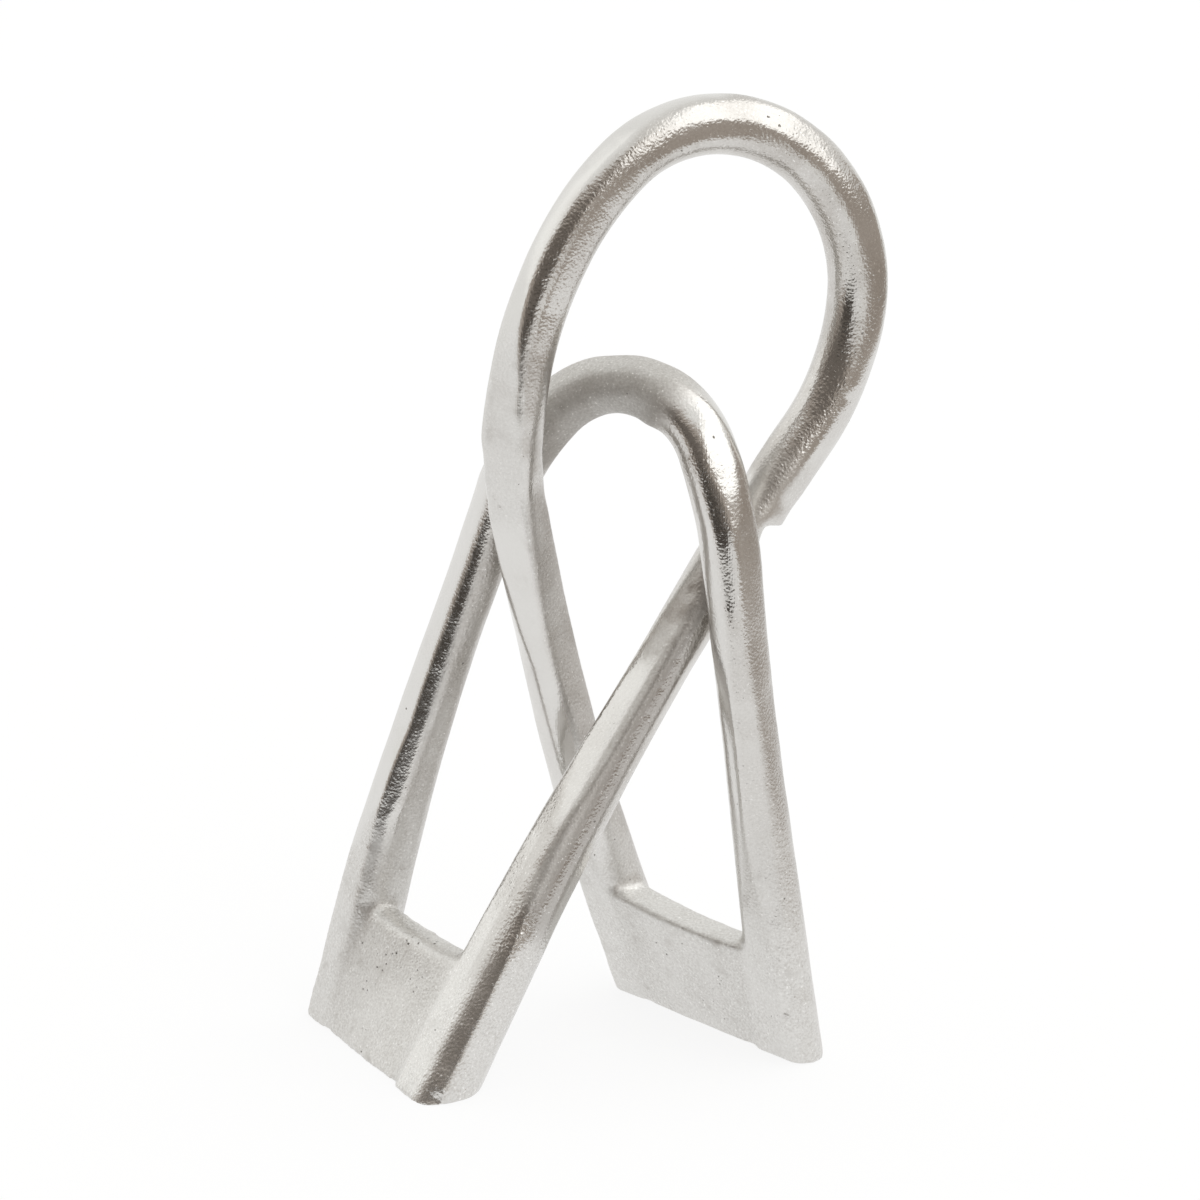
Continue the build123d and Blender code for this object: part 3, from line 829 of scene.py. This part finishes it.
def feed(tree, socket, value):
    """Links another node's output to a socket, or sets a plain value on it."""
    if isinstance(value, bpy.types.NodeSocket):
        tree.links.new(value, socket)
    else:
        socket.default_value = value


def node(tree, kind, inputs=(), **settings):
    """A node with its settings and inputs."""
    made = tree.nodes.new(kind)
    for name, value in settings.items():
        setattr(made, name, value)
    for name, value in dict(inputs).items():
        feed(tree, made.inputs[name], value)
    return made


def maths(tree, operation, *values, **settings):
    inputs = dict(enumerate(values))
    return node(tree, "ShaderNodeMath", inputs, operation=operation, **settings).outputs[0]


def tint(tree, under, mask, over):
    """One colour laid over another by a mask."""
    mixed = node(tree, "ShaderNodeMix", {0: mask}, data_type="RGBA")
    feed(tree, mixed.inputs[MIX_UNDER], under)
    feed(tree, mixed.inputs[MIX_OVER], over)
    return mixed.outputs[MIX_RESULT]


def ramp(tree, value, low, high):
    """0 at low and 1 at high, smooth between. Low may be the larger one."""
    fall = node(tree, "ShaderNodeMapRange", {"Value": value, "From Min": low, "From Max": high})
    fall.interpolation_type = "SMOOTHSTEP"
    return fall.outputs["Result"]


class Group:
    """A shader node group with named inputs and outputs."""

    def __init__(self, name, inputs, outputs):
        self.tree = bpy.data.node_groups.new(name, "ShaderNodeTree")
        for kind, sockets in (("INPUT", inputs), ("OUTPUT", outputs)):
            for socket, shape in sockets.items():
                self.tree.interface.new_socket(socket, in_out=kind, socket_type="NodeSocket" + shape)
        self.inputs = self.tree.nodes.new("NodeGroupInput").outputs
        self.outputs = self.tree.nodes.new("NodeGroupOutput").inputs

    def put_out(self, name, value):
        self.tree.links.new(value, self.outputs[name])

    def maths(self, operation, *values, **settings):
        return maths(self.tree, operation, *values, **settings)

    def ramp(self, value, low, high):
        return ramp(self.tree, value, low, high)

    def tint(self, under, mask, over):
        return tint(self.tree, under, mask, over)

    def mix(self, share, low, high):
        """A value between low and high."""
        inputs = {"Value": share, "To Min": low, "To Max": high}
        return node(self.tree, "ShaderNodeMapRange", inputs).outputs[0]

    def noise(self, place, scale, detail, roughness=0.5):
        inputs = {"Vector": place, "Scale": scale, "Detail": detail, "Roughness": roughness}
        return node(self.tree, "ShaderNodeTexNoise", inputs).outputs

    def cells(self, place, scale, **settings):
        inputs = {"Vector": place, "Scale": scale}
        return node(self.tree, "ShaderNodeTexVoronoi", inputs, **settings)

    def parts(self, colour):
        """The three values of a colour."""
        return node(self.tree, "ShaderNodeSeparateColor", {0: colour}).outputs


def cast_grain():
    """Fine grain of the sand mould. Dressing takes most of it off."""
    inputs = {"Place": "Vector", "Dressed": "Float"}
    group = Group("cast_grain", inputs, {"Height": "Float", "Rough": "Float"})
    place = group.inputs["Place"]
    patches = group.ramp(group.noise(place, PATCH_SCALE, 3)["Fac"], low=0.36, high=0.62)
    left = group.maths("MULTIPLY_ADD", group.inputs["Dressed"], -DRESSED_OFF, 1)
    rough = group.maths("MULTIPLY", left, group.mix(patches, low=0.55, high=1))
    cells = group.cells(place, BEAD_SCALE).outputs
    chance = group.parts(cells["Color"])[0]
    bead = group.ramp(cells["Distance"], low=0.5, high=0.05)
    beads = group.maths("MULTIPLY", bead, group.ramp(chance, low=0.5, high=0.95))
    sand = group.cells(place, SAND_SCALE, feature="SMOOTH_F1")
    sand.inputs["Smoothness"].default_value = SAND_SMOOTHNESS
    dust = group.noise(place, DUST_SCALE, 2)["Fac"]
    height = group.maths("MULTIPLY_ADD", dust, DUST_HEIGHT, sand.outputs["Distance"])
    height = group.maths("MULTIPLY_ADD", beads, BEAD_HEIGHT, height)
    group.put_out("Height", group.maths("MULTIPLY", height, rough))
    group.put_out("Rough", rough)
    return group.tree


def dark_pits():
    """Small dark pores in loose clusters."""
    group = Group("dark_pits", {"Place": "Vector", "Clusters": "Float"}, {"Pit": "Float"})
    place = group.inputs["Place"]
    dust = group.noise(place, DUST_SCALE, 2)["Color"]
    ragged = {0: dust, 1: (PORE_RAGGED,) * 3, 2: place}
    ragged = node(group.tree, "ShaderNodeVectorMath", ragged, operation="MULTIPLY_ADD").outputs[0]
    pores = group.cells(ragged, PORE_SCALE).outputs
    chance, width = group.parts(pores["Color"])[:2]
    cluster = group.ramp(group.noise(place, CLUSTER_SCALE, 2)["Fac"], low=0.5, high=0.66)
    chosen = group.maths("LESS_THAN", chance, group.maths("MULTIPLY", cluster, group.inputs["Clusters"]))
    inside = group.maths("SUBTRACT", group.mix(width, low=0.1, high=0.36), pores["Distance"])
    group.put_out("Pit", group.maths("MULTIPLY", group.ramp(inside, low=0, high=0.22), chosen))
    return group.tree


def metal_tone():
    """Colour and roughness of the silvery metal, from bright dressed faces to dull cast ones, with a painted
    reflection of the floor on the feet, painted shade in some zones and painted glints.
    """
    inputs = {"Place": "Vector", "Rough": "Float", "Matte": "Float", "Tarnish": "Float", "Pit": "Float"}
    group = Group("metal_tone", inputs, {"Colour": "Color", "Roughness": "Float"})
    place, rough, matte = (group.inputs[name] for name in ("Place", "Rough", "Matte"))
    height = node(group.tree, "ShaderNodeSeparateXYZ", {0: place}).outputs["Z"]
    # Painted reflection of the white floor: near the floor the rough metal keeps the bright colour
    above_floor_reflection = group.ramp(height, *FLOOR_REFLECTION_HEIGHTS)
    colour = group.tint(BRIGHT_METAL, group.maths("MULTIPLY", rough, above_floor_reflection), DULL_METAL)
    smudge = group.noise(place, SMUDGE_SCALE, 4, 0.6)["Fac"]
    smudges = group.ramp(smudge, low=0.55, high=0.75)
    worn = group.maths("MULTIPLY", smudges, group.mix(matte, low=0.12, high=0.6))
    grainy = group.maths("MAXIMUM", rough, matte, use_clamp=True)
    flecks = group.noise(place, FLECK_SCALE, 3, 0.6)["Fac"]
    fleck_share = group.maths("MULTIPLY", grainy, FLECK_SHARE)
    fleck = group.maths("MULTIPLY", group.ramp(flecks, low=0.4, high=0.68), fleck_share)
    colour = group.tint(colour, group.maths("MAXIMUM", worn, fleck), WORN_METAL)
    # Painted shade: darker colour in the listed zones
    painted_shade = group.maths("MULTIPLY", group.inputs["Tarnish"], PAINTED_SHADE_SHARE)
    colour = group.tint(colour, painted_shade, PAINTED_SHADE_METAL)
    # Painted glints: sparse bright specks in the grainy places
    painted_glint = group.maths("MULTIPLY", group.ramp(flecks, low=0.38, high=0.28), grainy)
    colour = group.tint(colour, painted_glint, PAINTED_GLINT_METAL)
    group.put_out("Colour", group.tint(colour, group.inputs["Pit"], PIT_BOTTOM))
    roughness = group.mix(rough, low=0.13, high=0.2)
    roughness = group.maths("MULTIPLY_ADD", matte, MATTE_ROUGHNESS, roughness)
    roughness = group.maths("SUBTRACT", roughness, SMUDGE_ROUGHNESS / 2)
    group.put_out("Roughness", group.maths("MULTIPLY_ADD", smudge, SMUDGE_ROUGHNESS, roughness))
    return group.tree


def use(tree, group, **inputs):
    """Puts a node group into a material."""
    made = tree.nodes.new("ShaderNodeGroup")
    made.node_tree = group
    for name, value in inputs.items():
        feed(tree, made.inputs[name], value)
    return made.outputs


def silver(finish):
    """One of the finishes, from the shared grain, pits and tone."""
    material = bpy.data.materials.new(finish)
    material.use_nodes = True
    tree = material.node_tree
    surface = tree.nodes["Principled BSDF"]
    surface.inputs["Metallic"].default_value = 1
    place = node(tree, "ShaderNodeTexCoord").outputs["Object"]
    dressed, matte, painted_shade = (
        node(tree, "ShaderNodeAttribute", attribute_name=mask).outputs["Fac"]
        for mask in ("dressed", "matte", "painted_shade")
    )
    grain = use(tree, GRAIN, Place=place, Dressed=dressed)
    pit = use(tree, PITS, Place=place, Clusters=PORE_CLUSTERS[finish])["Pit"]
    tone = use(tree, TONE, Place=place, Rough=grain["Rough"], Matte=matte, Tarnish=painted_shade, Pit=pit)
    tree.links.new(tone["Colour"], surface.inputs["Base Color"])
    tree.links.new(tone["Roughness"], surface.inputs["Roughness"])
    sunk = {"Height": pit, "Strength": PIT_STRENGTH, "Distance": PIT_DEPTH}
    sunk = node(tree, "ShaderNodeBump", sunk, invert=True).outputs["Normal"]
    bump = {"Height": grain["Height"], "Strength": 1, "Distance": GRAIN_DEPTH[finish], "Normal": sunk}
    tree.links.new(node(tree, "ShaderNodeBump", bump).outputs["Normal"], surface.inputs["Normal"])
    return material


# Studio: white floor, surroundings and camera, in metres
FLOOR_OUTLINE = (
    (-3, -0.36), (-0.11, -0.33), (-0.11, -1.6), (0.2, -1.6),
    (0.2, -0.45), (0.45, -0.45), (0.45, 3), (-3, 3),
)
FLOOR_COLOUR = (0.93, 0.93, 0.93, 1)
FLOOR_ROUGHNESS = 0.9
FLOOR_GLOW = 0.85
WHITE = (1, 1, 1, 1)

# Tones of the surroundings
WHITE_SWEEP = (0.97, 0.97, 0.955, 1)
REFLECTOR = (1.15, 1.15, 1.13, 1)
SOFT_BOX = (1.7, 1.7, 1.68, 1)
WARM_GREY = (0.45, 0.40, 0.355, 1)
DIM_GREY = (0.19, 0.168, 0.149, 1)
DARK_GREY = (0.075, 0.066, 0.058, 1)

# Panels over the white sweep, later ones over earlier ones: compass turns from the front, rises above
# level, and the fade of each, all in degrees, then the tone
PANELS = (
    ((-135, -84), (8, 40), 12, 8, REFLECTOR),
    ((-62, 48), (-90, 38), 12, 8, WARM_GREY),
    ((40, 130), (-90, 10), 8, 6, WARM_GREY),
    ((-85, -40), (-90, 16), 10, 7, WARM_GREY),
    ((-8, 26), (-90, -9), 4, 3, WHITE_SWEEP),
    ((-58, 0), (-4, 24), 8, 8, DIM_GREY),
    ((-62, -8), (-90, -22), 6, 4, WHITE_SWEEP),
    ((-47, -16), (-17, -5), 7, 5, DARK_GREY),
    ((28, 140), (32, 78), 5, 5, SOFT_BOX),
    ((19, 60), (15, 40), 4, 4, SOFT_BOX),
    ((56, 82), (15, 40), 4, 4, SOFT_BOX),
)

CAMERA_TARGET = Vector((0.002967, -0.0114, 0.150))
CAMERA_RISE = math.radians(20)
CAMERA_DISTANCE = 1.5
CAMERA_LENS = 149.76
CAMERA_SENSOR = 36
CAMERA_CLIP = 0.05


def add_floor():
    """Floor that keeps the object's shadow and looks white to the camera and in the metal."""
    plan = bmesh.new()
    plan.faces.new([plan.verts.new((x, y, 0)) for x, y in FLOOR_OUTLINE])
    mesh = bpy.data.meshes.new("floor")
    plan.to_mesh(mesh)
    plan.free()
    floor = bpy.data.objects.new("floor", mesh)
    bpy.context.scene.collection.objects.link(floor)
    material = bpy.data.materials.new("white_floor")
    material.use_nodes = True
    tree = material.node_tree
    paper = tree.nodes["Principled BSDF"]
    paper.inputs["Base Color"].default_value = FLOOR_COLOUR
    paper.inputs["Roughness"].default_value = FLOOR_ROUGHNESS
    paper.inputs["Specular IOR Level"].default_value = 0
    white = node(tree, "ShaderNodeEmission", {"Color": WHITE, "Strength": 1})
    ray = node(tree, "ShaderNodeLightPath").outputs
    seen = maths(tree, "ADD", ray["Is Camera Ray"], ray["Is Glossy Ray"])
    seen = maths(tree, "MAXIMUM", seen, ray["Is Transmission Ray"])
    share = maths(tree, "MULTIPLY", seen, FLOOR_GLOW, use_clamp=True)
    mixed = node(tree, "ShaderNodeMixShader", {0: share, 1: paper.outputs[0], 2: white.outputs[0]})
    tree.links.new(mixed.outputs[0], tree.nodes["Material Output"].inputs["Surface"])
    mesh.materials.append(material)


class Sky:
    """Compass turn and rise of each direction in degrees. Turn 0 is in front of the object."""

    def __init__(self, tree):
        self.tree = tree
        direction = node(tree, "ShaderNodeTexCoord").outputs["Generated"]
        parts = node(tree, "ShaderNodeSeparateXYZ", {0: direction}).outputs
        front = maths(tree, "MULTIPLY", parts["Y"], -1)
        self.turn = maths(tree, "DEGREES", maths(tree, "ARCTAN2", parts["X"], front))
        self.rise = maths(tree, "DEGREES", maths(tree, "ARCSINE", parts["Z"]))

    def between(self, value, low, high, fade):
        """1 between low and high, fading outside over some degrees."""
        above = ramp(self.tree, value, low - fade, low)
        return maths(self.tree, "MULTIPLY", above, ramp(self.tree, value, high + fade, high))

    def panel(self, turns, rises, turn_fade, rise_fade):
        """1 inside a range of turns and rises."""
        across = self.between(self.turn, *turns, turn_fade)
        return maths(self.tree, "MULTIPLY", across, self.between(self.rise, *rises, rise_fade))


def add_surroundings():
    """White sweep with panels and shades that the metal reflects. The camera sees plain white."""
    world = bpy.data.worlds.new("studio")
    bpy.context.scene.world = world
    world.use_nodes = True
    tree = world.node_tree
    sky = Sky(tree)
    colour = WHITE_SWEEP
    for *place, tone in PANELS:
        colour = tint(tree, colour, sky.panel(*place), tone)
    ray = node(tree, "ShaderNodeLightPath")
    colour = tint(tree, colour, ray.outputs["Is Camera Ray"], WHITE)
    tree.links.new(colour, tree.nodes["Background"].inputs["Color"])


def add_camera():
    camera = bpy.data.cameras.new("camera")
    camera.sensor_width = CAMERA_SENSOR
    camera.lens = CAMERA_LENS
    camera.clip_start = CAMERA_CLIP
    holder = bpy.data.objects.new("camera", camera)
    bpy.context.scene.collection.objects.link(holder)
    back = Vector((0, -math.cos(CAMERA_RISE), math.sin(CAMERA_RISE)))
    holder.location = CAMERA_TARGET + back * CAMERA_DISTANCE
    holder.rotation_euler = back.to_track_quat("Z", "Y").to_euler()
    bpy.context.scene.camera = holder


skin = shaped_skin()
GRAIN = cast_grain()
PITS = dark_pits()
TONE = metal_tone()
FINISHES = {finish: silver(finish) for finish in ("cast_bar", "web_plate", "weld_metal")}
cut_and_close(skin)
for piece in separate_pieces(skin):
    solid = min(PIECES, key=lambda name: misfit(piece, name))
    piece.name = solid + "_metal"
    piece.data.name = piece.name
    piece.data.materials.clear()
    piece.data.materials.append(FINISHES[PIECES[solid]])
    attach(piece, "root")
    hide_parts(solid)

add_floor()
add_surroundings()
add_camera()
bpy.context.scene.view_settings.view_transform = "Standard"
